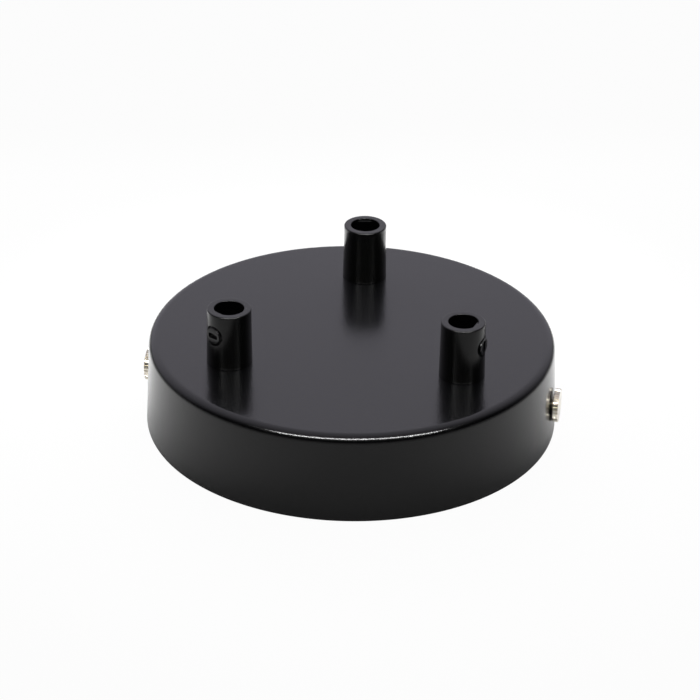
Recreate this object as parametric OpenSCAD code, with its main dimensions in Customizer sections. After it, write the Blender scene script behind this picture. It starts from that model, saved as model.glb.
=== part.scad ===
// Ceiling rose with three cord outlets. A shallow drawn steel cup closes over a folded
// ceiling bracket and is held to it by two knurled side screws. Each outlet has a moulded
// cord grip with a threaded tail, a lock washer and a nut inside the cup, and a clamp screw.
// Millimetres. Z = 0 is the ceiling plane at the cup's open rim, +Z points into the room,
// and X runs along the two side screws.

/* [Cup] */
// Outer diameter of the cup at its open rim
cup_d = 120; // [104:1:160]
// Height of the cup from the rim to the flat face
cup_h = 26.5; // [24:0.5:40]
// How far the wall leans in over the cup's height
wall_lean_w = 0.95; // [0:0.05:3]
// Outer radius of the drawn edge round the flat face
edge_r = 2.5; // [1.4:0.1:4]
// Thickness of the cup's sheet steel
sheet_t = 1; // [0.6:0.1:1.2]
// Radius of the rim's outer edge where it meets the ceiling
rim_edge_r = 0.3; // [0.1:0.05:0.4]

/* [Outlets] */
// Distance from the rim's outer edge in to the middle of an outlet
outlet_inset_l = 21.6; // [18:0.1:26]
// Direction of the back outlet, the others follow at a third of a turn
outlet_az = 95; // [80:1:100]
// How far the back clamp screw is turned from pointing outwards
back_clamp_turn = 5; // [-30:1:30]
// How far the left clamp screw is turned from pointing outwards
left_clamp_turn = 22; // [-30:1:30]
// How far the right clamp screw is turned from pointing outwards
right_clamp_turn = 12; // [-30:1:30]

/* [Cord grip] */
// Height of the grip above the cup's face
grip_h = 16.7; // [14:0.1:24]
// Diameter of the grip where it stands on the cup
grip_base_d = 13.1; // [12.6:0.1:15]
// Diameter of the grip at its mouth
grip_top_d = 12.6; // [12:0.1:13.4]
// Radius of the moulded edge round the mouth
grip_edge_r = 0.5; // [0.2:0.1:0.8]
// Diameter of the grip's mouth
mouth_d = 8.6; // [8.2:0.1:9.2]
// Chamfer inside the mouth
mouth_chamfer = 0.2; // [0.1:0.05:0.7]
// Diameter of the cord's bore through the tail
cord_bore_d = 6.6; // [5:0.1:7]
// Height above the cup's face at which the narrow bore ends
bore_step_h = 1.2; // [0.4:0.1:2.5]
// Height of the funnel between the narrow bore and the wide one
funnel_h = 1; // [0.5:0.1:2]
// How far the flat clamp pad stands back from the cord's bore
pad_back = 0.05; // [0.05:0.05:0.4]
// Depth of the clamp pad's top below the mouth
pad_drop = 0.6; // [0.5:0.1:2.5]
// Outer diameter of the grip's threaded tail
tail_d = 10; // [9.6:0.1:11]
// Length of the tail below the cup's face
tail_len = 8; // [7:0.5:11]
// Chamfer at the tail's end
tail_chamfer = 0.5; // [0.2:0.1:0.8]
// Play between the tail and the cup's outlet hole, all round
outlet_play = 0.15; // [0.1:0.05:0.4]

/* [Clamp screws] */
// Diameter of a clamp screw
clamp_d = 5; // [4:0.1:5]
// Depth of a clamp screw's axis below the mouth
clamp_drop = 6.6; // [5.5:0.1:7]
// How far a clamp screw stands out of the grip's wall
clamp_proud = 0.1; // [0:0.05:1.2]
// How far a clamp screw's tip sits back from the clamp pad
clamp_tip_back = 0.25; // [0.1:0.05:0.6]
// Play between a clamp screw and its thread, all round
thread_play = 0.05; // [0.03:0.01:0.08]
// Length of the driver slot
clamp_slot_l = 3.4; // [2:0.1:3.6]
// Width of the driver slot
clamp_slot_w = 1.6; // [0.8:0.1:1.8]
// Depth of the driver slot
clamp_slot_depth = 0.9; // [0.5:0.1:1.2]
// Diameter of the spot face round a clamp screw
spot_d = 6.1; // [5.8:0.1:7]
// Depth of the spot face in the grip's wall
spot_depth = 1.2; // [0.8:0.1:1.4]
// Chamfer round both ends of a clamp screw
clamp_chamfer = 0.3; // [0.1:0.05:0.5]

/* [Grip nuts and washers] */
// Width across a nut's flats
nut_af = 14; // [13:0.5:17]
// Thickness of a nut
nut_t = 3; // [2:0.5:4]
// Height of the chamfer on a nut's corners
nut_chamfer = 0.6; // [0.2:0.1:0.9]
// Outer diameter of a lock washer
washer_d = 17; // [15:0.5:20]
// Thickness of a lock washer
washer_t = 0.8; // [0.5:0.1:1.2]
// Number of inner teeth on a lock washer
washer_teeth = 10; // [8:1:12]
// Width of the gap between two teeth
washer_gap_w = 1.5; // [1:0.1:1.8]
// How far the gaps reach out from the washer's hole
washer_gap_depth = 1.6; // [1:0.1:1.8]

/* [Side screws] */
// Height of the side screws above the rim
side_z = 10; // [8.5:0.5:12]
// Diameter of a side screw's thread
side_d = 4; // [3:0.5:5]
// Length of a side screw under its head
side_len = 8; // [7:0.5:12]
// Chamfer at the tip of a side screw
side_tip_chamfer = 0.5; // [0.2:0.1:0.8]
// Diameter of a knurled head
head_d = 9.8; // [8:0.2:12]
// Thickness of a knurled head
head_t = 1.6; // [1.2:0.1:4]
// Gap between a head and the cup's wall where they are closest
head_gap = 0.1; // [0.05:0.05:0.3]
// Number of knurls round a head
knurl_n = 36; // [24:2:48]
// Depth of the knurls
knurl_depth = 0.3; // [0.2:0.05:0.4]
// Chamfer round both faces of a head
head_chamfer = 0.25; // [0.1:0.05:0.4]
// Play between a side screw and the cup's hole, all round
side_play = 0.3; // [0.2:0.05:0.6]

/* [Ceiling bracket] */
// Thickness of the bracket's strap
strap_t = 1.5; // [1:0.1:2]
// Width of the strap's middle
strap_w = 18; // [16:0.5:20]
// Length of the strap's wide middle
strap_mid_l = 88; // [84:1:92]
// Width of the tabs
tab_w = 12; // [10:0.5:14]
// Height of the tabs' ends above the rim
tab_h = 16; // [15:0.5:18]
// Radius of the tabs' corners
tab_corner_r = 3; // [1:0.5:4]
// Inner radius of the bends
bend_r = 1; // [0.5:0.1:2]
// How far the strap sits back from the rim's plane
strap_setback = 0.3; // [0:0.1:1]
// Gap between the tabs' corners and the cup's wall
tab_gap = 0.5; // [0.3:0.1:1]
// Diameter of the hole for the supply cable
cable_hole_d = 11; // [8:0.5:12]
// Distance between the two fixing slots' centres
slot_pitch = 62; // [60:1:64]
// Length of a fixing slot
slot_l = 14; // [8:0.5:15]
// Width of a fixing slot
slot_w = 4.5; // [3.5:0.5:6]

/* [Earth screw] */
// Distance of the earth screw from the bracket's middle
earth_x = 15.5; // [14:0.5:16]
// Diameter of the earth screw's thread
earth_d = 4; // [3:0.5:4]
// Diameter of the earth screw's head
earth_head_d = 7.6; // [6.5:0.1:8]
// Height of the earth screw's head
earth_head_h = 2.4; // [2:0.1:3]
// Radius of the crown round the earth screw's head
earth_crown_r = 0.8; // [0.4:0.1:1.2]
// Chamfer at the tip of the earth screw
earth_tip_chamfer = 0.5; // [0.2:0.1:0.7]
// How far the earth screw's tip sits above the strap's underside
earth_tip_up = 0.2; // [0:0.1:0.8]
// Width of the cross recess's arms
earth_cross_w = 0.9; // [0.6:0.1:1.2]
// Length of the cross recess's arms from tip to tip
earth_cross_l = 4; // [3:0.1:4.6]
// Depth of the cross recess
earth_cross_depth = 1.3; // [0.8:0.1:1.6]
// Play between the earth screw and its washer, all round
earth_play = 0.25; // [0.1:0.05:0.4]
// Diameter of the collar that is drawn up round the earth thread
collar_d = 6.6; // [6:0.1:7.4]
// Height of the collar above the strap
collar_h = 1.2; // [0.8:0.1:2]
// Diameter of the cupped earth washer
earth_washer_d = 9; // [8.4:0.1:10]
// Height of the cupped earth washer
earth_washer_h = 1.3; // [1:0.1:1.6]
// Thickness of the cupped earth washer's sheet
earth_washer_t = 0.7; // [0.4:0.1:0.8]

/* [Hidden] */
$fn = 96;

BACK = 0;
LEFT = 1;
RIGHT = 2;
clamp_turns = [back_clamp_turn, left_clamp_turn, right_clamp_turn];
// The slot of each clamp screw as it was left when the grip was assembled
slot_turns = [25, 4, 90];

arc_steps = 8;
cut = 1;
rim_r = cup_d / 2;
outlet_ring_r = rim_r - outlet_inset_l;
inner_edge_r = max(edge_r - sheet_t, 0.3);
face_in_z = cup_h - sheet_t;
spot_z = grip_h - clamp_drop;
grip_r_at_clamp = grip_base_d / 2 - (grip_base_d - grip_top_d) / 2 * spot_z / grip_h;
pad_x = cord_bore_d / 2 + pad_back;
clamp_face_x = grip_r_at_clamp + clamp_proud;
clamp_tip_x = pad_x + clamp_tip_back;
spot_x = grip_r_at_clamp - spot_depth;
head_x = wall_r(side_z - head_d / 2) + head_gap;
tab_x = sqrt(pow(wall_r(tab_h) - sheet_t - tab_gap, 2) - pow(tab_w / 2, 2));
strap_top_z = strap_setback + strap_t;
earth_washer_z = strap_top_z + collar_h;
earth_seat_z = earth_washer_z + earth_washer_h;
earth_len = earth_seat_z - strap_setback - earth_tip_up;

// Outer radius of the cup's leaning wall at height z
function wall_r(z) = rim_r - wall_lean_w * z / cup_h;

// Points along an arc about (x, y), from angle a to angle b
function arc(x, y, r, a, b) = [
    for (i = [0 : arc_steps]) let (t = a + (b - a) * i / arc_steps) [x + r * cos(t), y + r * sin(t)]
];

function outlet_angle(i) = outlet_az + 120 * i;

// Moves to an outlet, with z = 0 on the cup's face and +X along its clamp screw
module at_outlet(i) {
    translate([outlet_ring_r * cos(outlet_angle(i)), outlet_ring_r * sin(outlet_angle(i)), cup_h])
        rotate(outlet_angle(i) + clamp_turns[i]) children();
}

// Moves to a side screw, with +Z out along its axis and z = 0 on the cup's centre line
module at_side_screw(side) {
    translate([0, 0, side_z]) rotate([0, 90 * side, 0]) children();
}

// Drawn steel cup, open at the rim, with three outlet holes and two side holes
module canopy_cup() {
    edge_x = wall_r(cup_h) - edge_r;
    outer = concat(
        arc(rim_r - rim_edge_r, rim_edge_r, rim_edge_r, -90, 0),
        arc(edge_x, cup_h - edge_r, edge_r, 0, 90)
    );
    inner_x = wall_r(cup_h) - sheet_t - inner_edge_r;
    inner = concat(
        arc(inner_x, face_in_z - inner_edge_r, inner_edge_r, 90, 0),
        [[rim_r - sheet_t, 0]]
    );
    color("#2b2b2d") difference() {
        rotate_extrude() polygon(concat(outer, [[0, cup_h], [0, face_in_z]], inner));
        for (i = [BACK, LEFT, RIGHT])
            at_outlet(i) translate([0, 0, -sheet_t - cut])
                cylinder(d = tail_d + 2 * outlet_play, h = sheet_t + 2 * cut);
        for (side = [-1, 1])
            at_side_screw(side) translate([0, 0, rim_r / 2])
                cylinder(d = side_d + 2 * side_play, h = rim_r);
    }
}

// Moulded cord grip: tapered body, threaded tail, and a flat pad that the clamp screw
// presses the cord against
module cord_grip(i) {
    tail_r = tail_d / 2;
    top_r = grip_top_d / 2;
    mouth_r = mouth_d / 2;
    bore_r = cord_bore_d / 2;
    outline = concat(
        [
            [0, -tail_len], [tail_r - tail_chamfer, -tail_len], [tail_r, tail_chamfer - tail_len],
            [tail_r, 0], [grip_base_d / 2, 0]
        ],
        arc(top_r - grip_edge_r, grip_h - grip_edge_r, grip_edge_r, 0, 90),
        [[0, grip_h]]
    );
    pocket = [
        [0, bore_step_h], [bore_r, bore_step_h], [mouth_r, bore_step_h + funnel_h],
        [mouth_r, grip_h - mouth_chamfer], [mouth_r + mouth_chamfer, grip_h],
        [mouth_r + mouth_chamfer, grip_h + cut], [0, grip_h + cut]
    ];
    color("#1b1b1d") at_outlet(i) difference() {
        rotate_extrude() polygon(outline);
        translate([0, 0, -tail_len - cut])
            cylinder(r = bore_r, h = tail_len + cut + bore_step_h + funnel_h / 2);
        difference() {
            rotate_extrude() polygon(pocket);
            translate([pad_x, -mouth_d, 0]) cube([mouth_d, 2 * mouth_d, grip_h - pad_drop]);
        }
        translate([pad_x - cut, 0, spot_z]) rotate([0, 90, 0])
            cylinder(d = clamp_d + 2 * thread_play, h = grip_base_d);
        translate([spot_x, 0, spot_z]) rotate([0, 90, 0]) cylinder(d = spot_d, h = grip_base_d);
    }
}

// Headless plastic clamp screw with a blind moulded slot
module clamp_screw(i) {
    clamp_r = clamp_d / 2;
    len = clamp_face_x - clamp_tip_x;
    outline = [
        [0, 0], [clamp_r - clamp_chamfer, 0], [clamp_r, clamp_chamfer],
        [clamp_r, len - clamp_chamfer], [clamp_r - clamp_chamfer, len], [0, len]
    ];
    color("#222224") at_outlet(i) translate([clamp_tip_x, 0, spot_z]) rotate([0, 90, 0])
        difference() {
            rotate_extrude() polygon(outline);
            rotate(slot_turns[i]) translate([0, 0, len])
                cube([clamp_slot_w, clamp_slot_l, 2 * clamp_slot_depth], center = true);
        }
}

// Lock washer with inner teeth, flat under the nut
module grip_washer(i) {
    hole_r = tail_d / 2 + outlet_play;
    color("#b9bcc0") at_outlet(i) translate([0, 0, -sheet_t - washer_t]) linear_extrude(washer_t)
        difference() {
            circle(d = washer_d);
            circle(r = hole_r);
            for (k = [0 : washer_teeth - 1])
                rotate(360 / washer_teeth * k) translate([0, -washer_gap_w / 2])
                    square([hole_r + washer_gap_depth, washer_gap_w]);
        }
}

// Hexagon nut on the grip's tail, its corners chamfered on both faces
module grip_nut(i) {
    corner_r = nut_af / 2 / cos(30);
    outline = [
        [0, 0], [nut_af / 2, 0], [corner_r, nut_chamfer],
        [corner_r, nut_t - nut_chamfer], [nut_af / 2, nut_t], [0, nut_t]
    ];
    color("#b9bcc0") at_outlet(i) translate([0, 0, -sheet_t - washer_t - nut_t]) difference() {
        intersection() {
            cylinder(r = corner_r, h = nut_t, $fn = 6);
            rotate_extrude() polygon(outline);
        }
        translate([0, 0, -cut]) cylinder(d = tail_d + 2 * thread_play, h = nut_t + 2 * cut);
    }
}

// Nickel-plated thumb screw with a straight-knurled head
module side_screw(side) {
    head_r = head_d / 2;
    side_r = side_d / 2 - thread_play;
    outline = [
        [0, -side_len], [side_r - side_tip_chamfer, -side_len],
        [side_r, side_tip_chamfer - side_len], [side_r, 0],
        [head_r - head_chamfer, 0], [head_r, head_chamfer],
        [head_r, head_t - head_chamfer], [head_r - head_chamfer, head_t], [0, head_t]
    ];
    color("#c9c6bf") at_side_screw(side) translate([0, 0, head_x]) difference() {
        rotate_extrude() polygon(outline);
        for (k = [0 : knurl_n - 1])
            rotate(360 / knurl_n * k) translate([head_r, 0, -cut])
                cylinder(r = knurl_depth, h = head_t + 2 * cut, $fn = 4);
    }
}

// Outline of a folded channel: a flat bottom, two upright sides and rounded corners
module channel(half_l, h, r) {
    polygon(concat(
        [[half_l, h], [-half_l, h]],
        arc(r - half_l, r, r, 180, 270),
        arc(half_l - r, r, r, 270, 360)
    ));
}

// The bracket seen from the ceiling: a wide middle that narrows to the tabs
module strap_plan() {
    half_mid = strap_mid_l / 2;
    shoulder_x = half_mid + (strap_w - tab_w) / 2;
    upper = [
        [-rim_r, tab_w / 2], [-shoulder_x, tab_w / 2], [-half_mid, strap_w / 2],
        [half_mid, strap_w / 2], [shoulder_x, tab_w / 2], [rim_r, tab_w / 2]
    ];
    polygon(concat(upper, [for (k = [len(upper) - 1 : -1 : 0]) [upper[k][0], -upper[k][1]]]));
}

// What is cut away to round a tab's upper corner
module tab_corner(side) {
    difference() {
        translate([side > 0 ? 0 : -tab_corner_r - cut, 0]) square(tab_corner_r + cut);
        circle(tab_corner_r);
    }
}

// A slot with round ends, along X
module slot(l, w) {
    square([l - w, w], center = true);
    for (side = [-1, 1]) translate([side * (l - w) / 2, 0]) circle(d = w);
}

// Folded steel strap that is screwed to the ceiling, with a tapped tab at each end
module mounting_bracket() {
    collar_z = strap_setback + strap_t / 2;
    color("#c4c7c9") difference() {
        union() {
            translate([0, 0, strap_setback]) intersection() {
                rotate([90, 0, 0]) linear_extrude(strap_w, center = true) difference() {
                    channel(tab_x, tab_h - strap_setback, bend_r + strap_t);
                    translate([0, strap_t]) channel(tab_x - strap_t, tab_h, bend_r);
                }
                linear_extrude(tab_h) strap_plan();
            }
            translate([earth_x, 0, collar_z]) cylinder(d = collar_d, h = earth_washer_z - collar_z);
        }
        for (side = [-1, 1]) {
            translate([side * slot_pitch / 2, 0, strap_setback - cut])
                linear_extrude(strap_t + 2 * cut) slot(slot_l, slot_w);
            at_side_screw(side) translate([0, 0, tab_x - strap_t - cut])
                cylinder(d = side_d, h = strap_t + 2 * cut);
            translate([0, side * (tab_w / 2 - tab_corner_r), tab_h - tab_corner_r])
                rotate([90, 0, 90]) linear_extrude(cup_d, center = true) tab_corner(side);
        }
        translate([0, 0, strap_setback - cut]) cylinder(d = cable_hole_d, h = strap_t + 2 * cut);
        translate([earth_x, 0, strap_setback - cut])
            cylinder(d = earth_d, h = earth_washer_z - strap_setback + 2 * cut);
    }
}

// Pan-head earth screw with a cross recess
module earth_screw() {
    shank_r = earth_d / 2 - thread_play;
    head_r = earth_head_d / 2;
    outline = concat(
        [
            [0, -earth_len], [shank_r - earth_tip_chamfer, -earth_len],
            [shank_r, earth_tip_chamfer - earth_len], [shank_r, 0], [head_r, 0]
        ],
        arc(head_r - earth_crown_r, earth_head_h - earth_crown_r, earth_crown_r, 0, 90),
        [[0, earth_head_h]]
    );
    color("#c9b26a") translate([earth_x, 0, earth_seat_z]) difference() {
        rotate_extrude() polygon(outline);
        for (turn = [0, 90])
            rotate(turn) translate([0, 0, earth_head_h])
                cube([earth_cross_l, earth_cross_w, 2 * earth_cross_depth], center = true);
    }
}

// Cupped washer that holds the earth wire under the screw's head
module earth_washer() {
    washer_r = earth_washer_d / 2;
    flat_r = washer_r - earth_washer_h;
    hole_r = earth_d / 2 + earth_play;
    under_z = earth_washer_h - earth_washer_t;
    outline = [
        [hole_r, under_z], [flat_r - earth_washer_t * tan(22.5), under_z],
        [washer_r - earth_washer_t, 0], [washer_r, 0],
        [flat_r, earth_washer_h], [hole_r, earth_washer_h]
    ];
    color("#c9b26a") translate([earth_x, 0, earth_washer_z]) rotate_extrude() polygon(outline);
}

module side_screw_left() { side_screw(-1); }
module side_screw_right() { side_screw(1); }
module cord_grip_back() { cord_grip(BACK); }
module cord_grip_left() { cord_grip(LEFT); }
module cord_grip_right() { cord_grip(RIGHT); }
module clamp_screw_back() { clamp_screw(BACK); }
module clamp_screw_left() { clamp_screw(LEFT); }
module clamp_screw_right() { clamp_screw(RIGHT); }
module grip_washer_back() { grip_washer(BACK); }
module grip_washer_left() { grip_washer(LEFT); }
module grip_washer_right() { grip_washer(RIGHT); }
module grip_nut_back() { grip_nut(BACK); }
module grip_nut_left() { grip_nut(LEFT); }
module grip_nut_right() { grip_nut(RIGHT); }

canopy_cup();
mounting_bracket();
side_screw_left();
side_screw_right();
cord_grip_back();
cord_grip_left();
cord_grip_right();
clamp_screw_back();
clamp_screw_left();
clamp_screw_right();
grip_washer_back();
grip_washer_left();
grip_washer_right();
grip_nut_back();
grip_nut_left();
grip_nut_right();
earth_screw();
earth_washer();
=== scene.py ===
# Ceiling rose with three cord outlets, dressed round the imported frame. Metres, +Z into the room,
# X along the two side screws, as in the frame.
import math

import bmesh
import bpy
from mathutils import Matrix, Quaternion, Vector


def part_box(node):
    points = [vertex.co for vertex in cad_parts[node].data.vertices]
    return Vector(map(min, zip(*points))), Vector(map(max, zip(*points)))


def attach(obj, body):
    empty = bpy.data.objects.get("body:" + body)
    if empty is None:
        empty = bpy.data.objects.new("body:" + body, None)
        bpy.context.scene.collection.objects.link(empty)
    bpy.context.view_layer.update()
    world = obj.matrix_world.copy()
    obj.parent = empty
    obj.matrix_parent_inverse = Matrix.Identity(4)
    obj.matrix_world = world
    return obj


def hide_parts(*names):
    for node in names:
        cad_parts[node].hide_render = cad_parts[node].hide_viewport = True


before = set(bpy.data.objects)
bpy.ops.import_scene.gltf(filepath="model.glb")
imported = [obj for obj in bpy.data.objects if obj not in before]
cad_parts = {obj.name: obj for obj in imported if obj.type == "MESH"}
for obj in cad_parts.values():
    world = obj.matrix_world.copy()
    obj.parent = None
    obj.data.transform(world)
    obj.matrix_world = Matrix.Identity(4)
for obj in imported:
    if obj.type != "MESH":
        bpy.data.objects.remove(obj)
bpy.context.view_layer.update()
mm = 0.001


# Camera. The photo looks down on the rose from about 29 degrees through a long lens, from 10
# degrees to the right of the side screws' cross line, and its picture is turned by a degree.
CAMERA_AZIMUTH = math.radians(10.3)
CAMERA_ELEVATION = math.radians(29.26)
CAMERA_DISTANCE = 849.5 * mm
CAMERA_CENTRE = Vector((0, 0, 13.25 * mm))
CAMERA_AIM = Vector((-1.12 * mm, 3.32 * mm, 19.42 * mm))
CAMERA_ROLL = math.radians(0.758)
CAMERA_LENS = 149.1

camera = bpy.data.objects.new("camera", bpy.data.cameras.new("camera"))
bpy.context.scene.collection.objects.link(camera)
bpy.context.scene.camera = camera
bpy.context.scene.view_settings.view_transform = "Standard"
towards_camera = Vector((
    math.sin(CAMERA_AZIMUTH) * math.cos(CAMERA_ELEVATION),
    -math.cos(CAMERA_AZIMUTH) * math.cos(CAMERA_ELEVATION),
    math.sin(CAMERA_ELEVATION),
))
camera.location = CAMERA_CENTRE + CAMERA_DISTANCE * towards_camera
look = (CAMERA_AIM - camera.location).to_track_quat("-Z", "Y")
camera.rotation_mode = "QUATERNION"
camera.rotation_quaternion = look @ Quaternion((0, 0, 1), CAMERA_ROLL)
camera.data.lens = CAMERA_LENS
camera.data.sensor_width = 36
camera.data.clip_start = 0.01
camera.data.clip_end = 20


# White paper and studio light. The room is bright high behind the rose and dark behind the
# camera. A small lamp close behind lights the paper there. The paper's colour is also painted a
# darker grey away from the rose, a painted fall-off of light that shows mostly in reflections,
# and a wide strip over the camera draws the thin bright line along the drawn edge.
PAPER_WHITE = "#ffffff"
PAPER_NEAR = "#ececec"
# The paper's far colour: a painted darker grey that stands in for light falling off away from the rose.
PAPER_PAINTED_FALLOFF = "#7c7c7c"
PAPER_FALLOFF_FROM = 90 * mm
PAPER_FALLOFF_TO = 170 * mm
PAPER_SIZE = 6.0
PAPER_SHADOW = 0.03
PAPER_IN_GLOSS = 0.1
PAPER_DROP = 0.02 * mm
ROOM_WHITE = "#f5f2ff"
ROOM_AZIMUTH = -172
ROOM_ELEVATION = 45
ROOM_DARK = 0.01
ROOM_BRIGHT = 0.86
ROOM_FILL = 0.95


def linear(hex_colour):
    channels = [int(hex_colour[i:i + 2], 16) / 255 for i in (1, 3, 5)]
    return [c / 12.92 if c <= 0.04045 else ((c + 0.055) / 1.055) ** 2.4 for c in channels] + [1.0]


def add_node(tree, kind, settings=None, inputs=None):
    node = tree.nodes.new(kind)
    for key, value in (settings or {}).items():
        setattr(node, key, value)
    for key, value in (inputs or {}).items():
        if isinstance(value, bpy.types.NodeSocket):
            tree.links.new(value, node.inputs[key])
        else:
            node.inputs[key].default_value = value
    return node


def towards(azimuth, elevation):
    """A direction from the rose, at an azimuth counted from the camera's side."""
    a = CAMERA_AZIMUTH + math.radians(azimuth)
    e = math.radians(elevation)
    return Vector((math.sin(a) * math.cos(e), -math.cos(a) * math.cos(e), math.sin(e)))


paper = bpy.data.materials.new("matt_white_paper")
paper.use_nodes = True
tree = paper.node_tree
tree.nodes.clear()
spot = add_node(tree, "ShaderNodeTexCoord")
# Painted fall-off: the paper's colour turns from its own grey to a darker painted grey with distance
# from the rose, painted light that reflections and bounce light see.
reach = add_node(tree, "ShaderNodeVectorMath", {"operation": "LENGTH"}, {0: spot.outputs["Object"]})
painted_falloff = add_node(tree, "ShaderNodeMapRange", {"interpolation_type": "SMOOTHSTEP"}, {
    "Value": reach.outputs["Value"], "From Min": PAPER_FALLOFF_FROM, "From Max": PAPER_FALLOFF_TO})
tone = add_node(tree, "ShaderNodeMix", {"data_type": "RGBA"}, {
    0: painted_falloff.outputs[0], 6: linear(PAPER_NEAR), 7: linear(PAPER_PAINTED_FALLOFF)})
lit = add_node(tree, "ShaderNodeBsdfDiffuse", inputs={"Color": tone.outputs[2]})
glow = add_node(tree, "ShaderNodeEmission", inputs={"Color": linear(PAPER_WHITE), "Strength": 1.0})
ray = add_node(tree, "ShaderNodeLightPath")
seen = add_node(tree, "ShaderNodeMath", {"operation": "MAXIMUM"}, {
    0: ray.outputs["Is Camera Ray"], 1: ray.outputs["Is Transmission Ray"]})
seen_glow = add_node(tree, "ShaderNodeMath", {"operation": "MULTIPLY"}, {
    0: seen.outputs[0], 1: 1 - PAPER_SHADOW})
glow_share = add_node(tree, "ShaderNodeMath", {"operation": "MULTIPLY_ADD"}, {
    0: ray.outputs["Is Glossy Ray"], 1: PAPER_IN_GLOSS, 2: seen_glow.outputs[0]})
surface = add_node(tree, "ShaderNodeMixShader", inputs={
    0: glow_share.outputs[0], 1: lit.outputs[0], 2: glow.outputs[0]})
add_node(tree, "ShaderNodeOutputMaterial", inputs={"Surface": surface.outputs[0]})

bm = bmesh.new()
bmesh.ops.create_grid(bm, x_segments=1, y_segments=1, size=PAPER_SIZE / 2,
                      matrix=Matrix.Translation((0, 0, -PAPER_DROP)))
floor_mesh = bpy.data.meshes.new("floor")
bm.to_mesh(floor_mesh)
bm.free()
floor_mesh.materials.append(paper)
floor = bpy.data.objects.new("floor", floor_mesh)
bpy.context.scene.collection.objects.link(floor)

world = bpy.data.worlds.new("white_room")
bpy.context.scene.world = world
world.use_nodes = True
tree = world.node_tree
tree.nodes.clear()
outlook = add_node(tree, "ShaderNodeTexCoord")
facing = add_node(tree, "ShaderNodeVectorMath", {"operation": "DOT_PRODUCT"}, {
    0: outlook.outputs["Generated"], 1: towards(ROOM_AZIMUTH, ROOM_ELEVATION)})
room = add_node(tree, "ShaderNodeMapRange", {"interpolation_type": "SMOOTHSTEP"}, {
    "Value": facing.outputs["Value"], "From Min": 0.0, "From Max": 1.0,
    "To Min": ROOM_DARK, "To Max": ROOM_BRIGHT})
in_gloss = add_node(tree, "ShaderNodeBackground", inputs={
    "Color": linear(ROOM_WHITE), "Strength": room.outputs[0]})
filled = add_node(tree, "ShaderNodeMath", {"operation": "MULTIPLY"}, {0: room.outputs[0], 1: ROOM_FILL})
in_fill = add_node(tree, "ShaderNodeBackground", inputs={
    "Color": linear(PAPER_WHITE), "Strength": filled.outputs[0]})
in_view = add_node(tree, "ShaderNodeBackground", inputs={"Color": linear(PAPER_WHITE), "Strength": 1.0})
ray = add_node(tree, "ShaderNodeLightPath")
seen = add_node(tree, "ShaderNodeMath", {"operation": "MAXIMUM"}, {
    0: ray.outputs["Is Camera Ray"], 1: ray.outputs["Is Transmission Ray"]})
unseen = add_node(tree, "ShaderNodeMixShader", inputs={
    0: ray.outputs["Is Glossy Ray"], 1: in_fill.outputs[0], 2: in_gloss.outputs[0]})
surround = add_node(tree, "ShaderNodeMixShader", inputs={
    0: seen.outputs[0], 1: unseen.outputs[0], 2: in_view.outputs[0]})
add_node(tree, "ShaderNodeOutputWorld", inputs={"Surface": surround.outputs[0]})


def soft_box(name, azimuth, elevation, distance, width, height, watts):
    """A rectangular lamp that faces the rose."""
    direction = towards(azimuth, elevation)
    lamp = bpy.data.objects.new(name, bpy.data.lights.new(name, "AREA"))
    lamp.data.shape = "RECTANGLE"
    lamp.data.size = width
    lamp.data.size_y = height
    lamp.data.energy = watts
    lamp.location = direction * distance
    lamp.rotation_mode = "QUATERNION"
    lamp.rotation_quaternion = (-direction).to_track_quat("-Z", "Y")
    bpy.context.scene.collection.objects.link(lamp)
    return lamp


# The lamp behind lights the paper and shows in no gloss. The strip shows in gloss alone.
low_back_light = soft_box("low_back_light", azimuth=-176, elevation=30, distance=180 * mm,
                          width=300 * mm, height=120 * mm, watts=1.0)
low_back_light.visible_glossy = False
front_strip = soft_box("front_strip", azimuth=4, elevation=48, distance=1500 * mm,
                       width=2200 * mm, height=140 * mm, watts=42)
front_strip.visible_diffuse = False


# Cup. Deep-drawn sheet steel under a black polyester powder coat, which cures to a satin skin
# with a fine orange peel. It has three outlet holes in its face and two side holes in its wall.
CUP_BLACK = "#0a0a0c"
CUP_GREY = "#101012"
PEEL_SIZE = 0.9 * mm
GRAIN_SIZE = 0.45 * mm
SHEET = 1.0 * mm
WALL_DRAFT = 0.95 * mm
EDGE_ROUND = 2.5 * mm
RIM_ROUND = 0.3 * mm
SIDE_Z = 10 * mm
OUTLET_RING = 38.4 * mm
OUTLET_AZIMUTH = {"back": 95, "left": 215, "right": 335}
OUTLET_HOLE = 5.15 * mm
SIDE_HOLE = 2.3 * mm
CUP_RIM = 60 * mm
CUP_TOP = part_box("canopy_cup")[1].z
EDGE_SUPPORT = 0.25 * mm
WELD = 0.0001 * mm


def arc(x, z, radius, start, end, steps=8):
    """Outline points along an arc, from one angle in degrees to another."""
    turns = [math.radians(start + (end - start) * i / steps) for i in range(steps + 1)]
    return [(x + radius * math.cos(t), z + radius * math.sin(t)) for t in turns]


def lathe(outline, steps=96, closed=False):
    """Turns an outline of (radius, height) points about Z. A closed outline makes a ring."""
    bm = bmesh.new()
    verts = [bm.verts.new((r, 0, z)) for r, z in outline]
    ends = verts[1:] + (verts[:1] if closed else [])
    edges = [bm.edges.new(pair) for pair in zip(verts, ends)]
    bmesh.ops.spin(bm, geom=verts + edges, axis=(0, 0, 1), cent=(0, 0, 0), angle=2 * math.pi,
                   steps=steps, use_merge=True)
    bmesh.ops.remove_doubles(bm, verts=bm.verts, dist=WELD)
    bmesh.ops.recalc_face_normals(bm, faces=bm.faces)
    return bm


def cylinder(radius, z_low, z_high, steps=64):
    return lathe([(0, z_low), (radius, z_low), (radius, z_high), (0, z_high)], steps)


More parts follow.
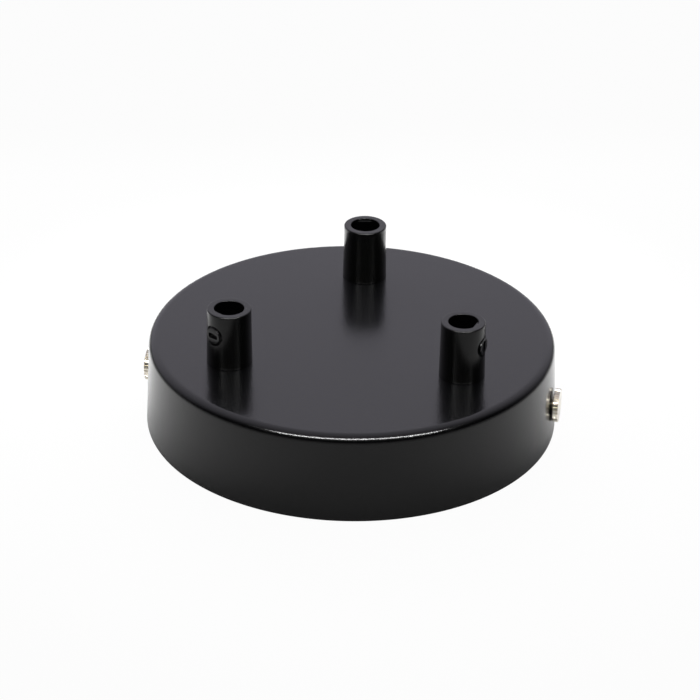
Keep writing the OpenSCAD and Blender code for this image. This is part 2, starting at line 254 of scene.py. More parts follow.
def combine(bm, operation, *tools):
    """Cuts, joins or intersects closed meshes, as a machinist would, and uses the tools up."""
    target = bpy.data.objects.new("work", bpy.data.meshes.new("work"))
    bm.to_mesh(target.data)
    bm.free()
    bpy.context.scene.collection.objects.link(target)
    helpers = []
    for tool in tools:
        helper = bpy.data.objects.new("tool", bpy.data.meshes.new("tool"))
        tool.to_mesh(helper.data)
        tool.free()
        bpy.context.scene.collection.objects.link(helper)
        step = target.modifiers.new("combine", "BOOLEAN")
        step.operation = operation
        step.solver = "EXACT"
        step.object = helper
        helpers.append(helper)
    result = bmesh.new()
    result.from_object(target, bpy.context.evaluated_depsgraph_get())
    for spent in [target] + helpers:
        mesh = spent.data
        bpy.data.objects.remove(spent)
        bpy.data.meshes.remove(mesh)
    return result


def place(bm, matrix):
    bmesh.ops.transform(bm, matrix=matrix, verts=bm.verts)
    return bm


def finish_piece(name, bm, material, slot, body, *nodes, sharp=35):
    """Turns a bmesh into a piece that rides on its body and stands for its CAD nodes."""
    mesh = bpy.data.meshes.new(name)
    bm.to_mesh(mesh)
    bm.free()
    mesh.materials.clear()
    mesh.materials.append(material)
    for face in mesh.polygons:
        face.material_index = 0
        face.use_smooth = True
    mesh.set_sharp_from_angle(angle=math.radians(sharp))
    piece = bpy.data.objects.new(name, mesh)
    bpy.context.scene.collection.objects.link(piece)
    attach(piece, body)
    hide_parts(*nodes)
    even = piece.modifiers.new("even_shading", "WEIGHTED_NORMAL")
    even.keep_sharp = True
    return piece


def to_outlet(outlet, turn=0):
    """From the place where an outlet is made to its place on the cup's face."""
    azimuth = math.radians(OUTLET_AZIMUTH[outlet])
    seat = Vector((OUTLET_RING * math.cos(azimuth), OUTLET_RING * math.sin(azimuth), CUP_TOP))
    return Matrix.Translation(seat) @ Matrix.Rotation(azimuth + math.radians(turn), 4, "Z")


def to_side(side):
    """From a screw that is made along +Z to its place on the cup's left or right."""
    turn = Matrix.Rotation(math.radians(90 if side == "right" else -90), 4, "Y")
    return Matrix.Translation((0, 0, SIDE_Z)) @ turn


def start_material(name):
    material = bpy.data.materials.new(name)
    material.use_nodes = True
    material.node_tree.nodes.clear()
    return material, material.node_tree


# Sprayed and baked polyester gives the eye a satin black that mirrors softly, broken by the
# orange peel. Its fine grain is drawn about twice as coarse as the real one, so that it shows.
powder_coat, tree = start_material("satin_powder_coat")
spot = add_node(tree, "ShaderNodeTexCoord")
peel = add_node(tree, "ShaderNodeTexNoise", inputs={
    "Vector": spot.outputs["Object"], "Scale": 1 / PEEL_SIZE})
grain = add_node(tree, "ShaderNodeTexNoise", inputs={
    "Vector": spot.outputs["Object"], "Scale": 1 / GRAIN_SIZE})
tone = add_node(tree, "ShaderNodeMix", {"data_type": "RGBA"}, {
    0: grain.outputs["Fac"], 6: linear(CUP_BLACK), 7: linear(CUP_GREY)})
satin = add_node(tree, "ShaderNodeMapRange", inputs={
    "Value": peel.outputs["Fac"], "To Min": 0.15, "To Max": 0.20})
peel_bump = add_node(tree, "ShaderNodeBump", inputs={
    "Strength": 0.8, "Distance": 0.03 * mm, "Height": peel.outputs["Fac"]})
grain_bump = add_node(tree, "ShaderNodeBump", inputs={
    "Strength": 0.8, "Distance": 0.015 * mm, "Height": grain.outputs["Fac"],
    "Normal": peel_bump.outputs[0]})
coat = add_node(tree, "ShaderNodeBsdfPrincipled", inputs={
    "Base Color": tone.outputs[2], "Roughness": satin.outputs[0], "IOR": 1.5,
    "Normal": grain_bump.outputs[0]})
add_node(tree, "ShaderNodeOutputMaterial", inputs={"Surface": coat.outputs[0]})

edge_x = CUP_RIM - WALL_DRAFT - EDGE_ROUND
edge_z = CUP_TOP - EDGE_ROUND
outline = [(0, CUP_TOP - SHEET)]
outline += [(edge_x - EDGE_SUPPORT, CUP_TOP - SHEET)]
outline += arc(edge_x, edge_z, EDGE_ROUND - SHEET, 90, 0, 10)
outline += [(CUP_RIM - SHEET, RIM_ROUND), (CUP_RIM - SHEET + RIM_ROUND / 3, 0)]
outline += arc(CUP_RIM - RIM_ROUND, RIM_ROUND, RIM_ROUND, -90, 0, 5)
outline += [(CUP_RIM - WALL_DRAFT * 0.03, RIM_ROUND + EDGE_SUPPORT)]
outline += [(CUP_RIM - WALL_DRAFT * 0.97, edge_z - EDGE_SUPPORT)]
outline += arc(edge_x, edge_z, EDGE_ROUND, 0, 90, 16)
outline += [(edge_x - EDGE_SUPPORT, CUP_TOP), (0, CUP_TOP)]
cup = lathe(outline, steps=256)
holes = []
for outlet in OUTLET_AZIMUTH:
    holes.append(place(cylinder(OUTLET_HOLE, -2 * SHEET, SHEET), to_outlet(outlet)))
for side in ("left", "right"):
    holes.append(place(cylinder(SIDE_HOLE, CUP_RIM * 0.9, CUP_RIM * 1.1), to_side(side)))
cup = combine(cup, "DIFFERENCE", *holes)
finish_piece("cup", cup, powder_coat, "powder_coated_steel", "rose", "canopy_cup")


# Cord grips. Injection-moulded black nylon with a little draft, a rounded lip and a flat pad
# inside the mouth for the clamp screw. The M10 tail goes through the cup to a nut.
GRIP_BLACK = "#070707"
GRIP_GREY = "#0b0b0c"
GRIP_HEIGHT = 16.7 * mm
GRIP_FOOT_R = 6.55 * mm
GRIP_LIP_R = 6.3 * mm
GRIP_LIP_ROUND = 0.35 * mm
GRIP_FOOT_ROUND = 0.15 * mm
MOUTH_R = 4.3 * mm
MOUTH_CHAMFER = 0.2 * mm
CORD_R = 3.3 * mm
STEP_Z = 1.2 * mm
FUNNEL = 1.0 * mm
DRAFT_FROM = 0.5 * mm
DRAFT_TO = GRIP_HEIGHT - 1.0 * mm
HAIR = 0.01 * mm
LAP = 0.05 * mm
PAD_X = 3.35 * mm
PAD_TOP = GRIP_HEIGHT - 0.6 * mm
CLAMP_Z = GRIP_HEIGHT - 6.6 * mm
CLAMP_HOLE_R = 2.55 * mm
SPOT_R = 3.05 * mm
SPOT_X = 5.2 * mm
TAIL_R = 5.0 * mm
TAIL_LENGTH = 8 * mm
TAIL_PITCH = 1.0 * mm
TAIL_ROOT = 0.4 * mm
THREAD_WELD = 0.001 * mm
CLAMP_TURN = {"back": 5, "left": 22, "right": 12}
MOULD_GRAIN = 0.25 * mm
FLOW_SIZE = 6 * mm


def threaded_rod(radius, pitch, z_low, z_high, steps=48, depth=0.6):
    """A rod with a real helical thread: one turn of a zigzag outline, welded and cut to length."""
    root = radius - depth * pitch
    turns = math.ceil((z_high - z_low) / pitch) + 3
    bm = bmesh.new()
    verts = []
    for k in range(turns):
        z = z_low + (k - 2) * pitch
        for share, r in ((0, root), (0.1, root), (0.45, radius), (0.6, radius)):
            verts.append(bm.verts.new((r, 0, z + share * pitch)))
    edges = [bm.edges.new(pair) for pair in zip(verts, verts[1:])]
    bmesh.ops.spin(bm, geom=verts + edges, axis=(0, 0, 1), cent=(0, 0, 0), angle=2 * math.pi,
                   dvec=(0, 0, pitch / steps), steps=steps, use_merge=False)
    bmesh.ops.remove_doubles(bm, verts=bm.verts, dist=THREAD_WELD)
    for z, up in ((z_low, -1), (z_high, 1)):
        cut = bmesh.ops.bisect_plane(bm, geom=bm.verts[:] + bm.edges[:] + bm.faces[:], dist=WELD,
                                     plane_co=(0, 0, z), plane_no=(0, 0, up), clear_outer=True)
        rim = [e for e in cut["geom_cut"] if isinstance(e, bmesh.types.BMEdge)]
        bmesh.ops.edgeloop_fill(bm, edges=rim)
    bmesh.ops.recalc_face_normals(bm, faces=bm.faces)
    return bm


# Black nylon from a finely etched mould. It looks near black, with a soft gloss on its lips and
# edges. Its colour drifts a little where the melt flowed.
moulded_nylon, tree = start_material("moulded_nylon")
spot = add_node(tree, "ShaderNodeTexCoord")
mould = add_node(tree, "ShaderNodeTexNoise", inputs={
    "Vector": spot.outputs["Object"], "Scale": 1 / MOULD_GRAIN})
flow = add_node(tree, "ShaderNodeTexNoise", inputs={
    "Vector": spot.outputs["Object"], "Scale": 1 / FLOW_SIZE, "Detail": 1.0})
tone = add_node(tree, "ShaderNodeMix", {"data_type": "RGBA"}, {
    0: flow.outputs["Fac"], 6: linear(GRIP_BLACK), 7: linear(GRIP_GREY)})
satin = add_node(tree, "ShaderNodeMapRange", inputs={
    "Value": mould.outputs["Fac"], "To Min": 0.20, "To Max": 0.27})
mould_bump = add_node(tree, "ShaderNodeBump", inputs={
    "Strength": 0.3, "Distance": 0.006 * mm, "Height": mould.outputs["Fac"]})
nylon = add_node(tree, "ShaderNodeBsdfPrincipled", inputs={
    "Base Color": tone.outputs[2], "Roughness": satin.outputs[0], "IOR": 1.53,
    "Specular IOR Level": 0.44, "Normal": mould_bump.outputs[0]})
add_node(tree, "ShaderNodeOutputMaterial", inputs={"Surface": nylon.outputs[0]})

for outlet in OUTLET_AZIMUTH:
    outline = [(0, 0), (GRIP_FOOT_R - GRIP_FOOT_ROUND, 0)]
    outline += arc(GRIP_FOOT_R - GRIP_FOOT_ROUND, GRIP_FOOT_ROUND, GRIP_FOOT_ROUND, -90, 0, 3)[1:]
    outline += [(GRIP_FOOT_R - HAIR, DRAFT_FROM), (GRIP_LIP_R + HAIR, DRAFT_TO)]
    outline += arc(GRIP_LIP_R - GRIP_LIP_ROUND, GRIP_HEIGHT - GRIP_LIP_ROUND, GRIP_LIP_ROUND, 0, 90, 8)
    outline += [(0, GRIP_HEIGHT)]
    grip = combine(lathe(outline), "UNION", threaded_rod(TAIL_R, TAIL_PITCH, -TAIL_LENGTH, TAIL_ROOT))
    bore = cylinder(CORD_R, -2 * TAIL_LENGTH, STEP_Z + FUNNEL / 2)
    pocket = [(0, STEP_Z), (CORD_R, STEP_Z), (MOUTH_R, STEP_Z + FUNNEL)]
    well = lathe(pocket + [(MOUTH_R, PAD_TOP), (0, PAD_TOP)])
    cut = bmesh.ops.bisect_plane(well, geom=well.verts[:] + well.edges[:] + well.faces[:], dist=WELD,
                                 plane_co=(PAD_X, 0, 0), plane_no=(1, 0, 0), clear_outer=True)
    rim = [e for e in cut["geom_cut"] if isinstance(e, bmesh.types.BMEdge)]
    bmesh.ops.edgeloop_fill(well, edges=rim)
    bmesh.ops.recalc_face_normals(well, faces=well.faces)
    lip = [(0, PAD_TOP - LAP), (MOUTH_R, PAD_TOP - LAP), (MOUTH_R, GRIP_HEIGHT - MOUTH_CHAMFER)]
    lip += arc(MOUTH_R + MOUTH_CHAMFER, GRIP_HEIGHT - MOUTH_CHAMFER, MOUTH_CHAMFER, 180, 90, 5)[1:]
    lip += [(MOUTH_R + MOUTH_CHAMFER, GRIP_HEIGHT + SHEET), (0, GRIP_HEIGHT + SHEET)]
    across = Matrix.Translation((0, 0, CLAMP_Z)) @ Matrix.Rotation(math.radians(90), 4, "Y")
    thread = place(cylinder(CLAMP_HOLE_R, PAD_X - SHEET, 2 * GRIP_FOOT_R), across)
    spot = place(cylinder(SPOT_R, SPOT_X, 2 * GRIP_FOOT_R), across)
    grip = combine(grip, "DIFFERENCE", bore, well, lathe(lip), thread, spot)
    place(grip, to_outlet(outlet, CLAMP_TURN[outlet]))
    finish_piece("grip_" + outlet, grip, moulded_nylon, "moulded_plastic", "rose", "cord_grip_" + outlet)


# Clamp screws. M5 nylon grub screws, one in the side of each grip, with a moulded driver slot
# that stops short of the screw's edge. Each is screwed in until it bites the cord.
SCREW_GREY = "#0e0e0f"
CLAMP_R = 2.5 * mm
CLAMP_PITCH = 0.8 * mm
CLAMP_TIP_X = 3.6 * mm
CLAMP_FACE_X = 6.5 * mm
CLAMP_CAP = 0.4 * mm
CLAMP_ROUND = 0.15 * mm
SLOT_LENGTH = 3.4 * mm
SLOT_WIDTH = 1.6 * mm
SLOT_DEPTH = 0.9 * mm
SLOT_CORNER = 0.48 * mm
SLOT_TURN = {"back": 25, "left": 4, "right": 90}

# The screws' nylon is moulded like the grips', and reads a shade greyer.
screw_nylon, tree = start_material("screw_nylon")
spot = add_node(tree, "ShaderNodeTexCoord")
mould = add_node(tree, "ShaderNodeTexNoise", inputs={
    "Vector": spot.outputs["Object"], "Scale": 1 / MOULD_GRAIN})
tone = add_node(tree, "ShaderNodeMix", {"data_type": "RGBA"}, {
    0: mould.outputs["Fac"], 6: linear(GRIP_GREY), 7: linear(SCREW_GREY)})
satin = add_node(tree, "ShaderNodeMapRange", inputs={
    "Value": mould.outputs["Fac"], "To Min": 0.20, "To Max": 0.27})
mould_bump = add_node(tree, "ShaderNodeBump", inputs={
    "Strength": 0.3, "Distance": 0.006 * mm, "Height": mould.outputs["Fac"]})
nylon = add_node(tree, "ShaderNodeBsdfPrincipled", inputs={
    "Base Color": tone.outputs[2], "Roughness": satin.outputs[0], "IOR": 1.53,
    "Specular IOR Level": 0.44, "Normal": mould_bump.outputs[0]})
add_node(tree, "ShaderNodeOutputMaterial", inputs={"Surface": nylon.outputs[0]})

for outlet in OUTLET_AZIMUTH:
    cap_x = CLAMP_FACE_X - CLAMP_CAP
    outline = [(0, cap_x), (CLAMP_R - CLAMP_ROUND, cap_x)]
    outline += arc(CLAMP_R - CLAMP_ROUND, cap_x + CLAMP_ROUND, CLAMP_ROUND, -90, 0, 3)[1:]
    outline += arc(CLAMP_R - CLAMP_ROUND, CLAMP_FACE_X - CLAMP_ROUND, CLAMP_ROUND, 0, 90, 5)
    outline += [(0, CLAMP_FACE_X)]
    screw = combine(lathe(outline, 64), "UNION",
                    threaded_rod(CLAMP_R, CLAMP_PITCH, CLAMP_TIP_X, cap_x + CLAMP_CAP / 2, 32))
    slot = bmesh.new()
    bmesh.ops.create_cube(slot, size=1,
                          matrix=Matrix.Diagonal((SLOT_WIDTH, SLOT_LENGTH, 2 * SLOT_DEPTH, 1)))
    upright = [e for e in slot.edges if abs(e.verts[0].co.z - e.verts[1].co.z) > SLOT_DEPTH]
    bmesh.ops.bevel(slot, geom=upright, offset=SLOT_CORNER, affect="EDGES", segments=4, profile=0.5,
                    material=-1)
    turned = Matrix.Rotation(math.radians(SLOT_TURN[outlet]), 4, "Z")
    place(slot, turned @ Matrix.Translation((0, 0, CLAMP_FACE_X)))
    screw = combine(screw, "DIFFERENCE", slot)
    across = Matrix.Translation((0, 0, CLAMP_Z)) @ Matrix.Rotation(math.radians(90), 4, "Y")
    place(screw, to_outlet(outlet, CLAMP_TURN[outlet]) @ across)
    finish_piece("clamp_" + outlet, screw, screw_nylon, "clamp_screw_plastic", "clamp_screw_" + outlet,
                 "clamp_screw_" + outlet)


# Side screws. M4 thumb screws, turned from steel with a straight-knurled head and nickel plated,
# which gives a warm bright metal. They go through the cup's wall into the bracket's tabs.
NICKEL = "#f3eee3"
NICKEL_DULL = "#ddd4c2"
HEAD_R = 4.9 * mm
HEAD_T = 1.6 * mm
HEAD_CHAMFER = 0.25 * mm
HEAD_GAP = 0.1 * mm
HEAD_X = CUP_RIM - WALL_DRAFT * (SIDE_Z - HEAD_R) / CUP_TOP + HEAD_GAP
KNURLS = 36
KNURL_DEPTH = 0.3 * mm
SIDE_R = 1.95 * mm
SIDE_PITCH = 0.7 * mm
SIDE_LENGTH = 8 * mm
SHANK_ROOT = 0.3 * mm
NICKEL_CLOUD = 0.5 * mm

# Nickel plate over turned steel. It is a warm, bright metal with faintly uneven gloss.
nickel_plate, tree = start_material("nickel_plate")
spot = add_node(tree, "ShaderNodeTexCoord")
plate = add_node(tree, "ShaderNodeTexNoise", inputs={
    "Vector": spot.outputs["Object"], "Scale": 1 / NICKEL_CLOUD})
tone = add_node(tree, "ShaderNodeMix", {"data_type": "RGBA"}, {
    0: plate.outputs["Fac"], 6: linear(NICKEL), 7: linear(NICKEL_DULL)})
polish = add_node(tree, "ShaderNodeMapRange", inputs={
    "Value": plate.outputs["Fac"], "To Min": 0.14, "To Max": 0.26})
nickel_bump = add_node(tree, "ShaderNodeBump", inputs={
    "Strength": 0.25, "Distance": 0.01 * mm, "Height": plate.outputs["Fac"]})
nickel = add_node(tree, "ShaderNodeBsdfPrincipled", inputs={
    "Base Color": tone.outputs[2], "Metallic": 1.0, "Roughness": polish.outputs[0],
    "Normal": nickel_bump.outputs[0]})
add_node(tree, "ShaderNodeOutputMaterial", inputs={"Surface": nickel.outputs[0]})

for side in ("left", "right"):
    wheel = bmesh.new()
    bmesh.ops.create_circle(wheel, cap_ends=True, segments=4 * KNURLS, radius=HEAD_R)
    wheel.verts.ensure_lookup_table()
    for k, vert in enumerate(wheel.verts):
        if k % 4 == 0:
            vert.co *= 1 - KNURL_DEPTH / HEAD_R
    rise = bmesh.ops.extrude_face_region(wheel, geom=wheel.faces[:])
    bmesh.ops.translate(wheel, vec=(0, 0, HEAD_T),
                        verts=[v for v in rise["geom"] if isinstance(v, bmesh.types.BMVert)])
    bmesh.ops.recalc_face_normals(wheel, faces=wheel.faces)
    blank = [(0, 0), (HEAD_R - HEAD_CHAMFER, 0), (HEAD_R + HAIR, HEAD_CHAMFER)]
    blank += arc(HEAD_R - HEAD_CHAMFER, HEAD_T - HEAD_CHAMFER, HEAD_CHAMFER + HAIR, 0, 90, 4)
    blank += [(0, HEAD_T)]
    head = combine(wheel, "INTERSECT", lathe(blank))
    screw = combine(head, "UNION", threaded_rod(SIDE_R, SIDE_PITCH, -SIDE_LENGTH, SHANK_ROOT, 32))
    place(screw, to_side(side) @ Matrix.Translation((0, 0, HEAD_X)))
    finish_piece("side_screw_" + side + "_nickel", screw, nickel_plate, "nickel_plated_steel",
                 "side_screw_" + side, "side_screw_" + side, sharp=25)


# Grip nuts. Hexagon nuts, zinc plated, with the usual chamfer that leaves a round face and a
# curved edge on every flat. They turn on the grips' M10 tails inside the cup.
ZINC = "#b4b9be"
ZINC_DULL = "#9297a0"
NUT_FLAT_R = 7 * mm
NUT_CORNER_R = NUT_FLAT_R / math.cos(math.radians(30))
NUT_T = 3 * mm
NUT_CHAMFER = 0.6 * mm
WASHER_T = 0.8 * mm
THREAD_PLAY = 0.05 * mm
SPANGLE = 1.6 * mm
ZINC_PITS = 0.3 * mm


def prism(outline, z_low, z_high):
    """A closed outline of (x, y) points, extruded along Z."""
    bm = bmesh.new()
    face = bm.faces.new([bm.verts.new((x, y, z_low)) for x, y in outline])
    raised = bmesh.ops.extrude_face_region(bm, geom=[face])
    bmesh.ops.translate(bm, vec=(0, 0, z_high - z_low),
                        verts=[v for v in raised["geom"] if isinstance(v, bmesh.types.BMVert)])
    bmesh.ops.recalc_face_normals(bm, faces=bm.faces)
    return bm


# Bright zinc plate. It is a cool pale grey, faintly mottled, with a duller gloss than nickel.
zinc_plate, tree = start_material("zinc_plate")
spot = add_node(tree, "ShaderNodeTexCoord")
spangle = add_node(tree, "ShaderNodeTexNoise", inputs={
    "Vector": spot.outputs["Object"], "Scale": 1 / SPANGLE})
pits = add_node(tree, "ShaderNodeTexNoise", inputs={
    "Vector": spot.outputs["Object"], "Scale": 1 / ZINC_PITS})
tone = add_node(tree, "ShaderNodeMix", {"data_type": "RGBA"}, {
    0: spangle.outputs["Fac"], 6: linear(ZINC), 7: linear(ZINC_DULL)})
polish = add_node(tree, "ShaderNodeMapRange", inputs={
    "Value": spangle.outputs["Fac"], "To Min": 0.26, "To Max": 0.42})
zinc_bump = add_node(tree, "ShaderNodeBump", inputs={
    "Strength": 0.3, "Distance": 0.01 * mm, "Height": pits.outputs["Fac"]})
zinc = add_node(tree, "ShaderNodeBsdfPrincipled", inputs={
    "Base Color": tone.outputs[2], "Metallic": 1.0, "Roughness": polish.outputs[0],
    "Normal": zinc_bump.outputs[0]})
add_node(tree, "ShaderNodeOutputMaterial", inputs={"Surface": zinc.outputs[0]})

for outlet in OUTLET_AZIMUTH:
    nut_low = -SHEET - WASHER_T - NUT_T
    hexagon = arc(0, 0, NUT_CORNER_R, 0, 300, 5)
    nut = prism(hexagon, nut_low, nut_low + NUT_T)
    blank = [(0, nut_low), (NUT_FLAT_R, nut_low), (NUT_CORNER_R + HAIR, nut_low + NUT_CHAMFER)]
    blank += [(NUT_CORNER_R + HAIR, nut_low + NUT_T - NUT_CHAMFER), (NUT_FLAT_R, nut_low + NUT_T)]
    blank += [(0, nut_low + NUT_T)]
    nut = combine(nut, "INTERSECT", lathe(blank))
    tap = threaded_rod(TAIL_R + THREAD_PLAY, TAIL_PITCH, -TAIL_LENGTH, -0.5 * SHEET)
    nut = combine(nut, "DIFFERENCE", tap)
    place(nut, to_outlet(outlet, CLAMP_TURN[outlet]))
    finish_piece("nut_" + outlet, nut, zinc_plate, "zinc_plated_steel", "rose", "grip_nut_" + outlet)


# Lock washers. Spring steel rings with ten inner teeth, pressed flat between each nut and the
# cup, and zinc plated like the nuts.
WASHER_R = 8.5 * mm
TOOTH_GAP = 1.5 * mm
TOOTH_ROOT_R = 6.75 * mm
TEETH = 10
WASHER_EDGE = 0.08 * mm

for outlet in OUTLET_AZIMUTH:
    low = -SHEET - WASHER_T
    ring = [(OUTLET_HOLE, low), (WASHER_R - WASHER_EDGE, low), (WASHER_R, low + WASHER_EDGE)]
    ring += [(WASHER_R, -SHEET - WASHER_EDGE), (WASHER_R - WASHER_EDGE, -SHEET), (OUTLET_HOLE, -SHEET)]
    gaps = bmesh.new()
    for k in range(TEETH):
        bmesh.ops.create_cube(gaps, size=1, matrix=Matrix.Rotation(2 * math.pi * k / TEETH, 4, "Z")
                              @ Matrix.Translation((TOOTH_ROOT_R / 2 + SHEET, 0, low + WASHER_T / 2))
                              @ Matrix.Diagonal((TOOTH_ROOT_R - 2 * SHEET, TOOTH_GAP, 2 * WASHER_T, 1)))
    washer = combine(lathe(ring, closed=True), "DIFFERENCE", gaps)
    place(washer, to_outlet(outlet, CLAMP_TURN[outlet]))
    finish_piece("washer_" + outlet, washer, zinc_plate, "zinc_plated_steel", "rose",
                 "grip_washer_" + outlet)


# Ceiling bracket. A strap of 1.5 mm steel, punched, folded up at both ends and zinc plated. Its
# tabs take the side screws and a drawn collar the earth screw. Their holes are plain, as the
# screws slide in them without turning.
STRAP_T = 1.5 * mm
STRAP_HALF = 9 * mm
STRAP_MID = 44 * mm
STRAP_LOW = 0.3 * mm
TAB_HALF = 6 * mm
TAB_TOP = 16 * mm
TAB_CORNER = 3 * mm
BEND = 1 * mm
STRAP_EDGE = 0.12 * mm
TAB_PLAY = 0.5 * mm
TAB_REACH = CUP_RIM - WALL_DRAFT * TAB_TOP / CUP_TOP - SHEET - TAB_PLAY
TAB_X = math.sqrt(TAB_REACH * TAB_REACH - TAB_HALF * TAB_HALF)
CABLE_R = 5.5 * mm
FIXING_X = 31 * mm
FIXING_HALF = 7 * mm
FIXING_R = 2.25 * mm
EARTH_X = 15.5 * mm
EARTH_R = 1.95 * mm
EARTH_PITCH = 0.7 * mm
EARTH_LENGTH = 3.8 * mm
COLLAR_R = 3.3 * mm
COLLAR_TOP = 3.0 * mm
COLLAR_ROUND = 0.15 * mm
EARTH_SEAT = 4.3 * mm


def mirrored(half):
    """The outline of half a shape on the +X side, joined to its mirror image."""
    return half + [(-x, y) for x, y in reversed(half)]


def rounded_slot(x, half_length, radius):
    """The outline of a slot with round ends, along X."""
    return (arc(x + half_length - radius, 0, radius, -90, 90, 16)
            + arc(x - half_length + radius, 0, radius, 90, 270, 16))


fold = arc(TAB_X - BEND - STRAP_T, STRAP_LOW + BEND + STRAP_T, BEND + STRAP_T, -90, 0)
fold += [(TAB_X, TAB_TOP), (TAB_X - STRAP_T, TAB_TOP)]
fold += arc(TAB_X - BEND - STRAP_T, STRAP_LOW + BEND + STRAP_T, BEND, 0, -90)
upright = Matrix.Rotation(math.radians(90), 4, "X")
bracket = place(prism(mirrored(fold), -STRAP_HALF, STRAP_HALF), upright)
shoulder = STRAP_MID + STRAP_HALF - TAB_HALF
plan = [(STRAP_MID, -STRAP_HALF), (shoulder, -TAB_HALF), (CUP_RIM, -TAB_HALF)]
plan += [(CUP_RIM, TAB_HALF), (shoulder, TAB_HALF), (STRAP_MID, STRAP_HALF)]
ends = [(STRAP_HALF + SHEET, -SHEET), (STRAP_HALF + SHEET, TAB_TOP / 2), (TAB_HALF, TAB_TOP / 2)]
ends += arc(TAB_HALF - TAB_CORNER, TAB_TOP - TAB_CORNER, TAB_CORNER, 0, 90)
along_x = Matrix.Rotation(math.radians(90), 4, "Z") @ upright
bracket = combine(bracket, "INTERSECT", prism(mirrored(plan), -SHEET, TAB_TOP + SHEET),
                  place(prism(mirrored(ends), -CUP_RIM, CUP_RIM), along_x))
corners = [e for e in bracket.edges if e.is_manifold and e.calc_face_angle() > math.radians(40)]
bmesh.ops.bevel(bracket, geom=corners, offset=STRAP_EDGE, affect="EDGES", segments=2, profile=0.5,
                material=-1)
collar = [(0, STRAP_LOW + STRAP_T / 2), (COLLAR_R, STRAP_LOW + STRAP_T / 2)]
collar += arc(COLLAR_R - COLLAR_ROUND, COLLAR_TOP - COLLAR_ROUND, COLLAR_ROUND, 0, 90, 3)
collar += [(0, COLLAR_TOP)]
bracket = combine(bracket, "UNION", place(lathe(collar), Matrix.Translation((EARTH_X, 0, 0))))
cutters = [cylinder(CABLE_R, -SHEET, STRAP_T + SHEET)]
for x in (-FIXING_X, FIXING_X):
    cutters.append(prism(rounded_slot(x, FIXING_HALF, FIXING_R), -SHEET, STRAP_T + SHEET))
for side in ("left", "right"):
    hole = cylinder(SIDE_R + THREAD_PLAY, TAB_X - STRAP_T - BEND, TAB_X + SHEET)
    cutters.append(place(hole, to_side(side)))
hole = cylinder(EARTH_R + THREAD_PLAY, -SHEET, COLLAR_TOP + SHEET)
cutters.append(place(hole, Matrix.Translation((EARTH_X, 0, 0))))
bracket = combine(bracket, "DIFFERENCE", *cutters)
finish_piece("bracket", bracket, zinc_plate, "zinc_plated_steel", "rose", "mounting_bracket")


# Earth screw and washer. An M4 pan-head screw with a cross recess, and the cupped washer that
# holds the wire under it, both turned or pressed from brass.
BRASS = "#c9a661"
BRASS_DULL = "#a98a4c"
EARTH_HEAD_R = 3.8 * mm
EARTH_HEAD_H = 2.4 * mm
EARTH_CROWN = 0.8 * mm
EARTH_EDGE = 0.1 * mm
CROSS_LENGTH = 4.0 * mm
CROSS_WIDTH = 0.9 * mm
CROSS_DEPTH = 1.3 * mm
CROSS_TAPER = 0.5
CUPPED_R = 4.5 * mm
CUPPED_FLAT_R = 3.2 * mm
CUPPED_HOLE_R = 2.25 * mm
CUPPED_T = 0.7 * mm
CUPPED_STEP = 0.29 * mm
BRASS_CLOUD = 0.6 * mm

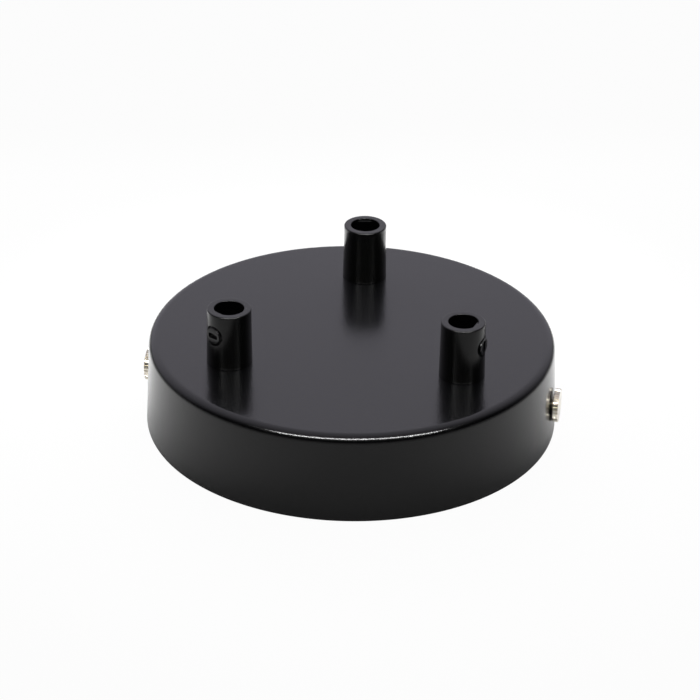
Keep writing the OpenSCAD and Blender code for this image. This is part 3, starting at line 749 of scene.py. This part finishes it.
# Bare brass. It is a warm yellow metal with a soft, slightly clouded gloss.
turned_brass, tree = start_material("turned_brass")
spot = add_node(tree, "ShaderNodeTexCoord")
cloud = add_node(tree, "ShaderNodeTexNoise", inputs={
    "Vector": spot.outputs["Object"], "Scale": 1 / BRASS_CLOUD})
tone = add_node(tree, "ShaderNodeMix", {"data_type": "RGBA"}, {
    0: cloud.outputs["Fac"], 6: linear(BRASS), 7: linear(BRASS_DULL)})
polish = add_node(tree, "ShaderNodeMapRange", inputs={
    "Value": cloud.outputs["Fac"], "To Min": 0.22, "To Max": 0.34})
brass_bump = add_node(tree, "ShaderNodeBump", inputs={
    "Strength": 0.2, "Distance": 0.008 * mm, "Height": cloud.outputs["Fac"]})
brass = add_node(tree, "ShaderNodeBsdfPrincipled", inputs={
    "Base Color": tone.outputs[2], "Metallic": 1.0, "Roughness": polish.outputs[0],
    "Normal": brass_bump.outputs[0]})
add_node(tree, "ShaderNodeOutputMaterial", inputs={"Surface": brass.outputs[0]})

outline = [(0, 0), (EARTH_HEAD_R - EARTH_EDGE, 0), (EARTH_HEAD_R, EARTH_EDGE)]
outline += arc(EARTH_HEAD_R - EARTH_CROWN, EARTH_HEAD_H - EARTH_CROWN, EARTH_CROWN, 0, 90, 8)
outline += [(0, EARTH_HEAD_H)]
screw = combine(lathe(outline, 64), "UNION",
                threaded_rod(EARTH_R, EARTH_PITCH, -EARTH_LENGTH, SHANK_ROOT, 32))
arms = []
for turn in (0, 90):
    arm = bmesh.new()
    bmesh.ops.create_cube(arm, size=1,
                          matrix=Matrix.Diagonal((CROSS_LENGTH, CROSS_WIDTH, 2 * CROSS_DEPTH, 1)))
    for vert in arm.verts:
        vert.co.x *= 1 - CROSS_TAPER if vert.co.z < 0 else 1 + CROSS_TAPER
    turned = Matrix.Rotation(math.radians(turn), 4, "Z")
    arms.append(place(arm, Matrix.Translation((0, 0, EARTH_HEAD_H)) @ turned))
screw = combine(screw, "DIFFERENCE", *arms)
place(screw, Matrix.Translation((EARTH_X, 0, EARTH_SEAT)))
finish_piece("earth_screw_brass", screw, turned_brass, "brass", "earth_screw", "earth_screw")

rise = EARTH_SEAT - COLLAR_TOP
outline = [(CUPPED_HOLE_R, rise - CUPPED_T), (CUPPED_FLAT_R - CUPPED_STEP, rise - CUPPED_T)]
outline += [(CUPPED_R - CUPPED_T, 0), (CUPPED_R - LAP, 0), (CUPPED_R, LAP)]
outline += [(CUPPED_FLAT_R, rise), (CUPPED_HOLE_R + WASHER_EDGE, rise)]
outline += [(CUPPED_HOLE_R, rise - WASHER_EDGE)]
washer = place(lathe(outline, 64, closed=True), Matrix.Translation((EARTH_X, 0, COLLAR_TOP)))
finish_piece("earth_washer_brass", washer, turned_brass, "brass", "rose", "earth_washer")
